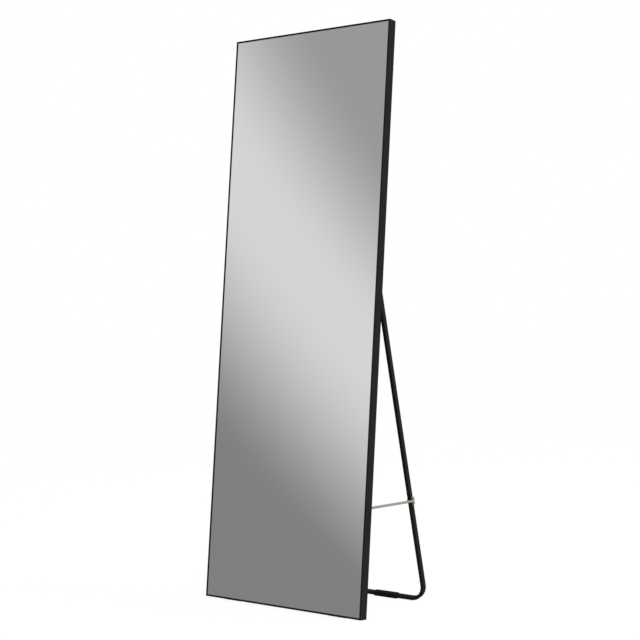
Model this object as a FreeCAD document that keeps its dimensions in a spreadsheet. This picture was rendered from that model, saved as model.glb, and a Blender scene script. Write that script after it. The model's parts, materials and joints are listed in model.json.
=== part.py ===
import FreeCAD, Part
import math
import os
import Sketcher
from FreeCAD import Placement, Rotation, Vector

# A leaning floor mirror: a tall glass in a thin mitred aluminium frame, held up from behind by a
# U-shaped tube stand that hinges on two steel brackets and is stopped by a cord on each side.
#
# Frame of the model, millimetres: +X to the viewer's right, +Y to the back, +Z up. The origin is on
# the floor, at the centre of the object's box. The panel's own pieces are drawn upright, with the
# front face at y = 0 and the bottom edge at z = 0, and the stand's pieces are drawn from the pivot
# axis with the legs hanging down. A Placement then leans each group to where it stands.

doc = FreeCAD.newDocument("leaning_floor_mirror")

# ---------------------------------------------------------------------------------------------
# Driving dimensions
# ---------------------------------------------------------------------------------------------

DIMENSIONS = [
    # the panel as a whole
    ("mirror_height", 1650.0),
    ("mirror_width", 560.0),
    ("lean_angle", 4.84),
    # the frame's extrusion
    ("frame_depth", 28.0),
    ("lip_width", 5.2),
    ("lip_thickness", 1.1),
    ("lip_edge_radius", 0.35),
    ("outer_wall", 1.6),
    ("chamber_width", 32.0),
    ("chamber_wall", 1.4),
    ("edge_radius", 0.7),
    ("cut_overrun", 5.0),
    # what the frame holds
    ("glass_thickness", 4.0),
    ("foam_thickness", 2.0),
    ("board_thickness", 3.0),
    ("glazing_clearance", 0.4),
    ("stack_gap", 0.1),
    # corner keys and the screws that draw the mitres together
    ("key_arm", 72.0),
    ("key_fit", 0.15),
    ("key_pocket_rim", 5.0),
    ("key_pocket_depth", 9.0),
    ("corner_screw_reach", 46.0),
    ("corner_screw_shank", 3.4),
    ("corner_screw_head", 6.2),
    ("corner_screw_length", 11.0),
    ("screw_fit", 0.1),
    # the hinge: bracket, bolt, washers and the insert in the end of each leg
    ("pivot_height", 920.0),
    ("pivot_standoff", 9.0),
    ("pivot_inset", 23.0),
    ("spread_angle", 18.1),
    ("bracket_sheet", 2.0),
    ("bracket_plate_width", 25.0),
    ("bracket_plate_above", 46.0),
    ("bracket_plate_below", 9.0),
    ("bracket_offset", 4.5),
    ("bracket_corner", 3.0),
    ("ear_radius", 6.5),
    ("ear_height", 13.0),
    ("bracket_screw_first", 21.0),
    ("bracket_screw_pitch", 17.0),
    ("bracket_screw_shank", 4.0),
    ("bracket_screw_head", 8.0),
    ("bracket_screw_head_height", 2.6),
    ("bracket_screw_head_top", 4.8),
    ("bracket_screw_length", 9.0),
    ("bolt_diameter", 5.0),
    ("bolt_running_fit", 0.05),
    ("bolt_end", 1.0),
    ("bolt_head", 9.0),
    ("bolt_head_top", 5.8),
    ("bolt_head_height", 2.7),
    ("bolt_socket_flats", 3.0),
    ("bolt_socket_depth", 2.0),
    ("nut_flats", 8.0),
    ("nut_height", 5.0),
    ("nut_collar_height", 1.2),
    ("nut_collar_diameter", 6.9),
    ("washer_thickness", 0.8),
    ("washer_diameter", 11.0),
    ("washer_gap", 0.1),
    ("eye_clearance", 0.5),
    # the stand's tube
    ("tube_width", 10.0),
    ("tube_depth", 15.0),
    ("tube_wall", 1.2),
    ("tube_corner", 1.2),
    ("tube_top_drop", 14.0),
    ("leg_splay", 15.0),
    ("bend_radius", 44.0),
    ("insert_spigot", 30.0),
    ("insert_shoulder", 2.5),
    ("insert_fit", 0.1),
    ("insert_overlap", 1.0),
    ("rivet_drop", 27.0),
    ("rivet_diameter", 3.0),
    ("rivet_fit", 0.1),
    ("rivet_head", 5.2),
    ("rivet_head_height", 0.8),
    # rubber sleeves on the stand's bar
    ("sleeve_length", 80.0),
    ("sleeve_inset", 135.0),
    ("sleeve_wall", 2.1),
    ("sleeve_fit", 0.05),
    ("sleeve_end_bevel", 1.2),
    # rubber pads under the bottom rail
    ("pad_length", 60.0),
    ("pad_inset", 90.0),
    ("pad_front", 16.0),
    ("pad_run", 10.0),
    ("pad_thin", 2.4),
    # stop cords
    ("cord_diameter", 7.5),
    ("cord_height", 300.0),
    ("cord_anchor_inset", 12.0),
    ("grommet_bore_fit", 0.7),
    ("grommet_wall", 1.0),
    ("grommet_flange", 2.0),
    ("grommet_flange_height", 1.0),
    ("stop_knot_diameter", 11.6),
    ("stop_knot_length", 10.4),
    ("stop_knot_gap", 0.85),
    ("leg_hole_fit", 0.4),
    ("knot_height", 24.0),
    ("knot_width", 11.0),
    ("knot_thickness", 11.0),
    ("knot_gap", 0.3),
    ("knot_stub", 7.5),
    # keyhole plates for hanging the panel on a wall
    ("hanger_inset", 100.0),
    ("hanger_length", 56.0),
    ("hanger_height", 22.0),
    ("hanger_corner", 6.6),
    ("hanger_sheet", 1.5),
    ("hanger_hole", 9.0),
    ("hanger_slot", 4.6),
    ("hanger_slot_rise", 9.0),
    ("hanger_hole_drop", 3.0),
    ("hanger_screw_spacing", 42.0),
    ("hanger_screw_shank", 3.4),
    ("hanger_screw_head", 6.6),
    ("hanger_screw_head_height", 2.1),
    ("hanger_screw_head_top", 4.2),
    ("hanger_screw_length", 8.0),
    ("hanger_window_margin", 1.5),
]

sheet = doc.addObject("Spreadsheet::Sheet", "dims")
for row, (alias, value) in enumerate(DIMENSIONS, start=1):
    sheet.set("A%d" % row, alias)
    sheet.set("B%d" % row, str(value))
    sheet.setAlias("B%d" % row, alias)
doc.recompute()


class Size:
    """A length or angle with the sheet formula that drives it."""

    def __init__(self, formula, value):
        self.formula = formula
        self.value = float(value)

    def __add__(self, other):
        other = size_of(other)
        return Size("(%s + %s)" % (self.formula, other.formula), self.value + other.value)

    def __sub__(self, other):
        other = size_of(other)
        return Size("(%s - %s)" % (self.formula, other.formula), self.value - other.value)

    def __mul__(self, factor):
        factor = size_of(factor)
        return Size("(%s * %s)" % (self.formula, factor.formula), self.value * factor.value)

    def __truediv__(self, divisor):
        divisor = size_of(divisor)
        return Size("(%s / %s)" % (self.formula, divisor.formula), self.value / divisor.value)

    def __neg__(self):
        return Size("(0 - %s)" % self.formula, -self.value)


def size_of(number):
    """A plain number as a Size, so that both can be mixed in one sum."""
    if isinstance(number, Size):
        return number
    return Size("(%r)" % float(number), number)


def sine(angle):
    return Size("sin(%s)" % angle.formula, math.sin(math.radians(angle.value)))


def cosine(angle):
    return Size("cos(%s)" % angle.formula, math.cos(math.radians(angle.value)))


def tangent(angle):
    return Size("tan(%s)" % angle.formula, math.tan(math.radians(angle.value)))


def arctangent(ratio):
    return Size("(atan(%s) / 1 deg)" % ratio.formula, math.degrees(math.atan(ratio.value)))


def dim(alias):
    return Size("dims." + alias, sheet.get(alias))


# ---------------------------------------------------------------------------------------------
# Sizes worked out from the driving ones
# ---------------------------------------------------------------------------------------------

height = dim("mirror_height")
half_width = dim("mirror_width") / 2
depth = dim("frame_depth")
lean = dim("lean_angle")
outer_wall = dim("outer_wall")
chamber_wall = dim("chamber_wall")
chamber_width = dim("chamber_width")
stack_gap = dim("stack_gap")

# the layers behind the lip, from the front
glass_front = dim("lip_thickness") + stack_gap
foam_front = glass_front + dim("glass_thickness")
board_front = foam_front + dim("foam_thickness")
chamber_front = board_front + dim("board_thickness") + stack_gap

# the hinge axis, in the upright panel
pivot_y = depth + dim("pivot_standoff")
pivot_z = dim("pivot_height")
pivot_x = half_width - dim("pivot_inset")
bar_half_span = pivot_x + dim("leg_splay")
sleeve_centre = bar_half_span - dim("sleeve_inset")
pad_centre = half_width - dim("pad_inset")
hanger_x = half_width - dim("hanger_inset")

# the rubber pads carry the panel, and their soles lie on the floor when it leans
pad_rear = dim("pad_front") + dim("pad_run")
panel_lift = dim("pad_thin") * cosine(lean) + pad_rear * sine(lean)

# the stand leans the other way, and its legs reach from the pivot to where the sleeves touch the floor
stand_lean = dim("spread_angle") - lean
sleeve_half_height = dim("tube_width") / 2 + dim("sleeve_fit") + dim("sleeve_wall")
sleeve_half_depth = dim("tube_depth") / 2 + dim("sleeve_fit") + dim("sleeve_wall")
sleeve_corner = dim("tube_corner") + dim("sleeve_fit") + dim("sleeve_wall")
sleeve_reach_down = (
    (sleeve_half_height - sleeve_corner) * cosine(stand_lean)
    + (sleeve_half_depth - sleeve_corner) * sine(stand_lean)
    + sleeve_corner
)
sleeve_reach_back = (
    (sleeve_half_height - sleeve_corner) * sine(stand_lean)
    + (sleeve_half_depth - sleeve_corner) * cosine(stand_lean)
    + sleeve_corner
)
pivot_above_floor = panel_lift + pivot_z * cosine(lean) - pivot_y * sine(lean)
leg_length = (pivot_above_floor - sleeve_reach_down) / cosine(stand_lean)
leg_slope = dim("leg_splay") / leg_length
leg_splay_angle = arctangent(leg_slope)

# the front bottom edge stands half the object's depth in front of the origin
pivot_behind_edge = pivot_z * sine(lean) + pivot_y * cosine(lean)
bar_behind_edge = pivot_behind_edge + leg_length * sine(stand_lean)
edge_y = -(bar_behind_edge + sleeve_reach_back) / 2

# the cord runs level from the stile to the leg, where both are at this height above the floor
cord_level = dim("cord_height")
cord_leg_drop = (pivot_above_floor - cord_level) / cosine(stand_lean)
cord_radius = dim("cord_diameter") / 2


def leg_x(drop):
    """Half the distance between the legs' centre lines, this far below the pivot axis."""
    return pivot_x + leg_slope * drop


# ---------------------------------------------------------------------------------------------
# Where each group stands
# ---------------------------------------------------------------------------------------------

X_AXIS = Vector(1, 0, 0)
Y_AXIS = Vector(0, 1, 0)
Z_AXIS = Vector(0, 0, 1)

panel_stance = Placement(
    Vector(0, edge_y.value, panel_lift.value),
    Rotation(X_AXIS, -lean.value),
)
pivot_point = panel_stance.multVec(Vector(0, pivot_y.value, pivot_z.value))
stand_stance = Placement(pivot_point, Rotation(X_AXIS, stand_lean.value))


# ---------------------------------------------------------------------------------------------
# Drawing helpers
# ---------------------------------------------------------------------------------------------

def new_body(name):
    body = doc.addObject("PartDesign::Body", name)
    body.Label = name
    return body


def origin_plane(body, role):
    for feature in body.Origin.OriginFeatures:
        if feature.Role == role:
            return feature
    raise ValueError(role)


def attach(feature, body, role, lift=None):
    """Lay a sketch or primitive on one of the body's own origin planes, lifted off it."""
    feature.AttachmentSupport = [(origin_plane(body, role), "")]
    feature.MapMode = "FlatFace"
    if lift is not None:
        feature.setExpression("AttachmentOffset.Base.z", lift.formula)


def new_sketch(body, role, name, lift=None):
    sketch = body.newObject("Sketcher::SketchObject", name)
    attach(sketch, body, role, lift)
    return sketch


def tie_point(sketch, geometry, vertex, x, y):
    """Hold a point of the sketch at two sheet-driven distances from the sketch's origin."""
    for kind, distance in (("DistanceX", x), ("DistanceY", y)):
        index = sketch.addConstraint(
            Sketcher.Constraint(kind, -1, 1, geometry, vertex, distance.value)
        )
        sketch.setExpression("Constraints[%d]" % index, distance.formula)


def tie_radius(sketch, geometry, radius):
    index = sketch.addConstraint(Sketcher.Constraint("Radius", geometry, radius.value))
    sketch.setExpression("Constraints[%d]" % index, radius.formula)


def step_towards(start, end, distance):
    """The point this far from start on the way to end, along one of the sketch's axes."""
    run = end[0].value - start[0].value
    rise = end[1].value - start[1].value
    if abs(run) > abs(rise):
        return (start[0] + distance * math.copysign(1, run), start[1])
    return (start[0], start[1] + distance * math.copysign(1, rise))


def draw_outline(sketch, corners):
    """Draw a closed outline. A corner is (x, y), or (x, y, radius) where two square sides meet."""
    corners = [tuple(size_of(part) for part in corner) for corner in corners]
    stations = []
    for index, corner in enumerate(corners):
        if len(corner) == 2:
            stations.append(("point", corner))
            continue
        here = corner[:2]
        before = step_towards(here, corners[index - 1], corner[2])
        after = step_towards(here, corners[(index + 1) % len(corners)], corner[2])
        centre = (before[0] + after[0] - here[0], before[1] + after[1] - here[1])
        stations.append(("round", before, after, centre, corner[2]))

    def vector(point):
        return Vector(point[0].value, point[1].value, 0)

    def direction(centre, point):
        spoke = vector(point) - vector(centre)
        return math.atan2(spoke.y, spoke.x)

    pieces = []
    for index, station in enumerate(stations):
        following = stations[(index + 1) % len(stations)]
        if station[0] == "round":
            _, before, after, centre, radius = station
            first, last = direction(centre, before), direction(centre, after)
            # a sketch runs every arc counter-clockwise, so a clockwise corner is drawn from its end
            clockwise = math.sin(last - first) < 0
            if clockwise:
                first, last = last, first
            if last < first:
                last += 2 * math.pi
            circle = Part.Circle(vector(centre), Z_AXIS, radius.value)
            number = sketch.addGeometry(Part.ArcOfCircle(circle, first, last), False)
            pieces.append((number, 2, 1) if clockwise else (number, 1, 2))
            tie_radius(sketch, number, radius)
        start = station[2] if station[0] == "round" else station[1]
        end = following[1]
        number = sketch.addGeometry(Part.LineSegment(vector(start), vector(end)), False)
        pieces.append((number, 1, 2))
        tie_point(sketch, number, 1, start[0], start[1])
        if following[0] == "round":
            tie_point(sketch, number, 2, end[0], end[1])
    for index, (number, _, last) in enumerate(pieces):
        next_number, next_first, _ = pieces[(index + 1) % len(pieces)]
        sketch.addConstraint(Sketcher.Constraint("Coincident", number, last, next_number, next_first))


def draw_rectangle(sketch, left, low, right, high, radius=None):
    corners = [(left, low), (right, low), (right, high), (left, high)]
    if radius is not None:
        corners = [corner + (radius,) for corner in corners]
    draw_outline(sketch, corners)


def draw_circle(sketch, x, y, radius):
    x, y, radius = size_of(x), size_of(y), size_of(radius)
    number = sketch.addGeometry(
        Part.Circle(Vector(x.value, y.value, 0), Z_AXIS, radius.value), False
    )
    tie_point(sketch, number, 3, x, y)
    tie_radius(sketch, number, radius)


def pad(body, sketch, length, both_ways=False, reverse=False):
    feature = body.newObject("PartDesign::Pad", sketch.Name + "_pad")
    feature.Profile = sketch
    feature.setExpression("Length", size_of(length).formula)
    feature.Midplane = both_ways
    feature.Reversed = reverse
    return feature


def pocket(body, sketch, length, both_ways=False, reverse=False):
    """Cut a sketch out of the body, and make sure that the cut took something away."""
    doc.recompute()
    before = body.Shape.Volume
    feature = body.newObject("PartDesign::Pocket", sketch.Name + "_cut")
    feature.Profile = sketch
    feature.setExpression("Length", size_of(length).formula)
    feature.Midplane = both_ways
    feature.Reversed = reverse
    doc.recompute()
    if body.Shape.Volume >= before - 1e-3:
        raise RuntimeError("%s cuts nothing" % feature.Name)
    return feature


def revolve(body, sketch, role):
    feature = body.newObject("PartDesign::Revolution", sketch.Name + "_turned")
    feature.Profile = sketch
    axis_role = {"X": "X_Axis", "Y": "Y_Axis", "Z": "Z_Axis"}[role]
    feature.ReferenceAxis = (origin_plane(body, axis_role), [""])
    feature.Angle = 360
    return feature


def bevel_edges(body, feature, name, size, chosen):
    """Chamfer the edges of a feature that the given test picks."""
    doc.recompute()
    edges = [
        "Edge%d" % (number + 1)
        for number, edge in enumerate(feature.Shape.Edges)
        if chosen(edge)
    ]
    if not edges:
        raise RuntimeError("%s finds no edge" % name)
    bevel = body.newObject("PartDesign::Chamfer", name)
    bevel.Base = (feature, edges)
    bevel.setExpression("Size", size.formula)
    body.Tip = bevel


def nearly_full(radius):
    """The corner radius of a full round end, which keeps a hair of flat between its two arcs."""
    return radius * 0.99


def mirrored_twin(source, name):
    """The same piece on the other side of the object."""
    twin = doc.addObject("Part::Mirroring", name)
    twin.Label = name
    twin.Source = source
    twin.Normal = X_AXIS
    return twin


def group_of_copies(name, source, placements):
    """Identical loose pieces in one node, each a solid of its own."""
    links = []
    for number, placement in enumerate(placements, start=1):
        link = doc.addObject("App::Link", "%s_copy_%d" % (name, number))
        link.LinkedObject = source
        link.Placement = placement
        links.append(link)
    group = doc.addObject("Part::Compound", name)
    group.Label = name
    group.Links = links
    return group


def in_panel(x, y, z, turn=None):
    """A placement at a point of the upright panel, carried to where the panel leans."""
    x, y, z = size_of(x), size_of(y), size_of(z)
    return panel_stance * Placement(Vector(x.value, y.value, z.value), turn or Rotation())


def in_stand(x, y, z, turn=None):
    """A placement at a point of the stand, measured from the pivot axis."""
    x, y, z = size_of(x), size_of(y), size_of(z)
    return stand_stance * Placement(Vector(x.value, y.value, z.value), turn or Rotation())


nodes = []


def keep(node):
    nodes.append(node)
    return node


# ---------------------------------------------------------------------------------------------
# The frame: four mitred lengths of one extrusion
# ---------------------------------------------------------------------------------------------
# Each length is drawn with x inward from the outer face, y to the back and z along its length.

corner_screw_line = (outer_wall + chamber_width - chamber_wall) / 2
bracket_screw_x = pivot_x + dim("bracket_offset")
cord_anchor_x = half_width - dim("cord_anchor_inset")
cord_anchor_z = (cord_level - panel_lift + depth * sine(lean)) / cosine(lean)
grommet_bore_radius = cord_radius + dim("grommet_bore_fit")
grommet_neck_radius = grommet_bore_radius + dim("grommet_wall")
hanger_centre_z = height - chamber_width / 2
hanger_slot_top = dim("hanger_slot_rise") - dim("hanger_hole_drop")


def frame_length(name, length):
    """One mitred length of the extrusion: lip, glass channel and hollow key chamber."""
    body = new_body(name)
    profile = new_sketch(body, "XY_Plane", name + "_profile", -length / 2)
    radius = dim("edge_radius")
    draw_outline(profile, [
        (0, 0, radius),
        (dim("lip_width"), 0, dim("lip_edge_radius")),
        (dim("lip_width"), dim("lip_thickness")),
        (outer_wall, dim("lip_thickness")),
        (outer_wall, chamber_front),
        (chamber_width, chamber_front),
        (chamber_width, depth, radius),
        (0, depth, radius),
    ])
    draw_rectangle(
        profile,
        outer_wall, chamber_front + chamber_wall,
        chamber_width - chamber_wall, depth - chamber_wall,
    )
    pad(body, profile, length)
    mitre = new_sketch(body, "XZ_Plane", name + "_mitre")
    overrun = dim("cut_overrun")
    inner = chamber_width + overrun
    for end in (1, -1):
        outer = length / 2 * end
        draw_outline(mitre, [
            (-overrun, outer + overrun * end),
            (inner, outer + overrun * end),
            (inner, outer - inner * end),
        ])
    pocket(body, mitre, depth + overrun)
    return body


def rear_face_sketch(body, name):
    """A sketch on the rear face of a frame length, x inward and y along the length."""
    return new_sketch(body, "XZ_Plane", name, -depth)


def drill_corner_screws(body, length):
    """Countersunk holes through the rear wall, one near each end."""
    for number, end in enumerate((1, -1), start=1):
        cone = body.newObject("PartDesign::SubtractiveCone", "%s_sink_%d" % (body.Name, number))
        attach(cone, body, "XZ_Plane", -depth)
        cone.setExpression("AttachmentOffset.Base.x", corner_screw_line.formula)
        along = (length / 2 - dim("corner_screw_reach")) * end
        cone.setExpression("AttachmentOffset.Base.y", along.formula)
        wide = dim("corner_screw_head") / 2 + dim("screw_fit")
        narrow = dim("corner_screw_shank") / 2 + dim("screw_fit")
        cone.setExpression("Radius1", wide.formula)
        cone.setExpression("Radius2", narrow.formula)
        cone.setExpression("Height", chamber_wall.formula)


def make_stile(name):
    body = frame_length(name, height)
    holes = rear_face_sketch(body, name + "_bracket_holes")
    for number in range(2):
        above = pivot_z + dim("bracket_screw_first") + dim("bracket_screw_pitch") * number
        draw_circle(
            holes,
            half_width - bracket_screw_x,
            height / 2 - above,
            dim("bracket_screw_shank") / 2 + dim("screw_fit") / 2,
        )
    pocket(body, holes, chamber_wall, reverse=True)
    cord_hole = rear_face_sketch(body, name + "_cord_hole")
    draw_circle(
        cord_hole,
        dim("cord_anchor_inset"),
        height / 2 - cord_anchor_z,
        grommet_neck_radius,
    )
    pocket(body, cord_hole, chamber_wall, reverse=True)
    drill_corner_screws(body, height)
    body.Placement = in_panel(half_width, 0, height / 2, Rotation(Y_AXIS, 180))
    return body


def make_bottom_rail(name):
    body = frame_length(name, dim("mirror_width"))
    drill_corner_screws(body, dim("mirror_width"))
    body.Placement = in_panel(0, 0, 0, Rotation(Y_AXIS, -90))
    return body


def make_top_rail(name):
    """The top rail has a window behind each keyhole, which a screw's head enters and slides up."""
    body = frame_length(name, dim("mirror_width"))
    windows = rear_face_sketch(body, name + "_windows")
    reach = dim("hanger_hole") / 2 + dim("hanger_window_margin")
    slid_up = hanger_slot_top - dim("hanger_slot") / 2
    for side in (1, -1):
        centre = hanger_x * side
        draw_rectangle(
            windows,
            chamber_width / 2 - slid_up - reach, centre - reach,
            chamber_width / 2 + dim("hanger_hole_drop") + reach, centre + reach,
        )
        for hole in (1, -1):
            draw_circle(
                windows,
                chamber_width / 2,
                centre + dim("hanger_screw_spacing") / 2 * hole,
                dim("hanger_screw_shank") / 2 + dim("screw_fit") / 2,
            )
    pocket(body, windows, chamber_wall, reverse=True)
    drill_corner_screws(body, dim("mirror_width"))
    body.Placement = in_panel(0, 0, height, Rotation(Y_AXIS, 90))
    return body


right_stile = keep(make_stile("frame_right_stile"))
keep(mirrored_twin(right_stile, "frame_left_stile"))
keep(make_top_rail("frame_top_rail"))
keep(make_bottom_rail("frame_bottom_rail"))


# ---------------------------------------------------------------------------------------------
# Glass, foam and backing board
# ---------------------------------------------------------------------------------------------

def make_sheet(name, front, thickness):
    """A flat sheet that fills the frame's channel, short of the outer walls by the clearance."""
    body = new_body(name)
    outline = new_sketch(body, "XZ_Plane", name + "_outline", -front)
    edge = outer_wall + dim("glazing_clearance")
    draw_rectangle(outline, edge - half_width, edge, half_width - edge, height - edge)
    pad(body, outline, thickness, reverse=True)
    body.Placement = panel_stance
    return body


keep(make_sheet("mirror_glass", glass_front, dim("glass_thickness")))
keep(make_sheet("foam_sheet", foam_front, dim("foam_thickness")))
keep(make_sheet("backing_board", board_front, dim("board_thickness")))


# ---------------------------------------------------------------------------------------------
# Corner keys and their screws
# ---------------------------------------------------------------------------------------------

def make_corner_key(name):
    """An L-shaped key, drawn at the bottom left corner of the upright panel."""
    body = new_body(name)
    fit = dim("key_fit")
    near = outer_wall + fit
    far = chamber_width - chamber_wall - fit
    front = chamber_front + chamber_wall + fit
    thick = depth - chamber_wall - fit - front
    end = dim("key_arm")
    shape = new_sketch(body, "XZ_Plane", name + "_shape", -front)
    draw_outline(shape, [
        (near, near),
        (end, near),
        (end, far),
        (far, far),
        (far, end),
        (near, end),
    ])
    pad(body, shape, thick, reverse=True)
    rim = dim("key_pocket_rim")
    pockets = new_sketch(body, "XZ_Plane", name + "_pockets", -front)
    inner_end = dim("corner_screw_reach") - rim
    draw_rectangle(pockets, far, near + rim, inner_end, far - rim)
    draw_rectangle(pockets, near + rim, far, far - rim, inner_end)
    pocket(body, pockets, dim("key_pocket_depth"))
    screw_holes = new_sketch(body, "XZ_Plane", name + "_screw_holes", -front)
    hole_radius = dim("corner_screw_shank") / 2 + dim("screw_fit") / 2
    draw_circle(screw_holes, dim("corner_screw_reach"), corner_screw_line, hole_radius)
    draw_circle(screw_holes, corner_screw_line, dim("corner_screw_reach"), hole_radius)
    pocket(body, screw_holes, thick)
    return body


def four_corners():
    """Placements that carry the bottom left corner to all four corners of the panel."""
    half_turn = Rotation(Y_AXIS, 180)
    quarter = Rotation(Y_AXIS, -90)
    three_quarters = Rotation(Y_AXIS, 90)
    return [
        in_panel(-half_width, 0, 0),
        in_panel(half_width, 0, 0, quarter),
        in_panel(half_width, 0, height, half_turn),
        in_panel(-half_width, 0, height, three_quarters),
    ]


def make_countersunk_screw(name, head, shank, length):
    """A countersunk screw along y, its flat head at y = 0 and its point to the front."""
    body = new_body(name)
    half = new_sketch(body, "XY_Plane", name + "_half")
    fit = dim("screw_fit") / 2
    draw_outline(half, [
        (0, 0),
        (head / 2, 0),
        (shank / 2, -chamber_wall + fit),
        (shank / 2, -length),
        (0, -length),
    ])
    revolve(body, half, "Y")
    return body


corner_key = make_corner_key("corner_key")
keep(group_of_copies("corner_keys", corner_key, four_corners()))

corner_screw = make_countersunk_screw(
    "corner_screw", dim("corner_screw_head"), dim("corner_screw_shank"), dim("corner_screw_length")
)


def corner_screw_places():
    reach, line = dim("corner_screw_reach"), corner_screw_line
    places = []
    for x_side in (1, -1):
        for x_in, z_in in ((reach, line), (line, reach)):
            x = (half_width - x_in) * x_side
            places.append(in_panel(x, depth, z_in))
            places.append(in_panel(x, depth, height - z_in))
    return places


keep(group_of_copies("corner_screws", corner_screw, corner_screw_places()))


# ---------------------------------------------------------------------------------------------
# Hinge brackets, screws, pivot bolts, nuts and washers
# ---------------------------------------------------------------------------------------------

bracket_inner = dim("tube_width") / 2 + dim("washer_gap") * 2 + dim("washer_thickness")
bracket_outer = bracket_inner + dim("bracket_sheet")
eye_radius = dim("pivot_standoff") - dim("bracket_sheet") - dim("eye_clearance")


def make_hinge_bracket(name):
    """A folded steel clevis: a plate on the stile and two ears either side of the leg's eye."""
    body = new_body(name)
    plate = new_sketch(body, "XZ_Plane", name + "_plate")
    half_plate = dim("bracket_plate_width") / 2
    offset = dim("bracket_offset")
    draw_rectangle(
        plate,
        offset - half_plate, -dim("bracket_plate_below"),
        offset + half_plate, dim("bracket_plate_above"),
        dim("bracket_corner"),
    )
    for number in range(2):
        draw_circle(
            plate,
            offset,
            dim("bracket_screw_first") + dim("bracket_screw_pitch") * number,
            dim("bracket_screw_shank") / 2 + dim("screw_fit"),
        )
    pad(body, plate, dim("bracket_sheet"), reverse=True)
    ear_radius = dim("ear_radius")
    ear_reach = dim("pivot_standoff") + ear_radius
    for side_name, inside in (("right", bracket_inner), ("left", -bracket_outer)):
        ear = new_sketch(body, "YZ_Plane", "%s_%s_ear" % (name, side_name), inside)
        draw_outline(ear, [
            (0, -ear_radius),
            (ear_reach, -ear_radius, nearly_full(ear_radius)),
            (ear_reach, dim("ear_height"), nearly_full(ear_radius)),
            (0, dim("ear_height")),
        ])
        pad(body, ear, dim("bracket_sheet"))
    bolt_hole = new_sketch(body, "YZ_Plane", name + "_bolt_hole")
    draw_circle(
        bolt_hole, dim("pivot_standoff"), 0, dim("bolt_diameter") / 2 + dim("bolt_running_fit")
    )
    pocket(body, bolt_hole, bracket_outer * 2 + dim("cut_overrun"), both_ways=True)
    body.Placement = in_panel(pivot_x, depth, pivot_z)
    return body


right_bracket = keep(make_hinge_bracket("hinge_bracket_right"))
keep(mirrored_twin(right_bracket, "hinge_bracket_left"))


def make_pan_screw(name):
    """A pan-head screw along y: its head stands behind y = 0 and its shank runs to the front."""
    body = new_body(name)
    half = new_sketch(body, "XY_Plane", name + "_half")
    shank, length = dim(name + "_shank") / 2, dim(name + "_length")
    head, head_top = dim(name + "_head") / 2, dim(name + "_head_top") / 2
    head_height = dim(name + "_head_height")
    draw_outline(half, [
        (0, -length),
        (shank, -length),
        (shank, 0),
        (head, 0),
        (head_top, head_height),
        (0, head_height),
    ])
    revolve(body, half, "Y")
    return body


bracket_screw = make_pan_screw("bracket_screw")


def bracket_screw_places():
    places = []
    for side in (1, -1):
        for number in range(2):
            above = pivot_z + dim("bracket_screw_first") + dim("bracket_screw_pitch") * number
            places.append(in_panel(bracket_screw_x * side, depth + dim("bracket_sheet"), above))
    return places


keep(group_of_copies("bracket_screws", bracket_screw, bracket_screw_places()))


def make_pivot_bolt(name):
    """A button-head bolt along x: the head on the outer side, the shank to the nut."""
    body = new_body(name)
    half = new_sketch(body, "XY_Plane", name + "_half")
    end = -(bracket_outer + dim("nut_height") + dim("bolt_end"))
    head_end = bracket_outer + dim("bolt_head_height")
    draw_outline(half, [
        (end, 0),
        (end, dim("bolt_diameter") / 2),
        (bracket_outer, dim("bolt_diameter") / 2),
        (bracket_outer, dim("bolt_head") / 2),
        (head_end, dim("bolt_head_top") / 2),
        (head_end, 0),
    ])
    revolve(body, half, "X")
    doc.recompute()
    socket = new_sketch(body, "YZ_Plane", name + "_socket", head_end)
    draw_hexagon(socket, dim("bolt_socket_flats") / 2)
    pocket(body, socket, dim("bolt_socket_depth"))
    return body


def draw_hexagon(sketch, apothem):
    """A regular hexagon about the sketch's origin, two flats parallel to its x axis."""
    half_side = apothem / math.sqrt(3)
    draw_outline(sketch, [
        (half_side * 2, 0), (half_side, apothem), (-half_side, apothem),
        (-half_side * 2, 0), (-half_side, -apothem), (half_side, -apothem),
    ])


def make_pivot_nut(name):
    """A lock nut on the bolt's inner end: a hexagon with a round collar."""
    body = new_body(name)
    near = -bracket_outer
    hexagon = new_sketch(body, "YZ_Plane", name + "_hexagon", near)
    draw_hexagon(hexagon, dim("nut_flats") / 2)
    hexagon_height = dim("nut_height") - dim("nut_collar_height")
    pad(body, hexagon, hexagon_height, reverse=True)
    collar = new_sketch(body, "YZ_Plane", name + "_collar", near - hexagon_height)
    draw_circle(collar, 0, 0, dim("nut_collar_diameter") / 2)
    pad(body, collar, dim("nut_collar_height"), reverse=True)
    bore = new_sketch(body, "YZ_Plane", name + "_bore", near)
    draw_circle(bore, 0, 0, dim("bolt_diameter") / 2 + dim("bolt_running_fit"))
    pocket(body, bore, dim("nut_height"))
    return body


def make_pivot_washer(name):
    body = new_body(name)
    ring = new_sketch(body, "YZ_Plane", name + "_ring")
    draw_circle(ring, 0, 0, dim("washer_diameter") / 2)
    draw_circle(ring, 0, 0, dim("bolt_diameter") / 2 + dim("bolt_running_fit"))
    pad(body, ring, dim("washer_thickness"))
    return body


def pivot_places(shift=0.0):
    """Both ends of the pivot axis, each with x pointing outward, shifted outward along it."""
    shift = size_of(shift)
    return [
        in_panel(pivot_x + shift, pivot_y, pivot_z),
        in_panel(-(pivot_x + shift), pivot_y, pivot_z, Rotation(Z_AXIS, 180)),
    ]


washer_near = dim("tube_width") / 2 + dim("washer_gap")
keep(group_of_copies("pivot_bolts", make_pivot_bolt("pivot_bolt"), pivot_places()))
keep(group_of_copies("pivot_nuts", make_pivot_nut("pivot_nut"), pivot_places()))
keep(group_of_copies(
    "pivot_washers",
    make_pivot_washer("pivot_washer"),
    pivot_places(washer_near) + pivot_places(-washer_near - dim("washer_thickness")),
))


# ---------------------------------------------------------------------------------------------
# Keyhole plates for hanging the panel
# ---------------------------------------------------------------------------------------------

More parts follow.
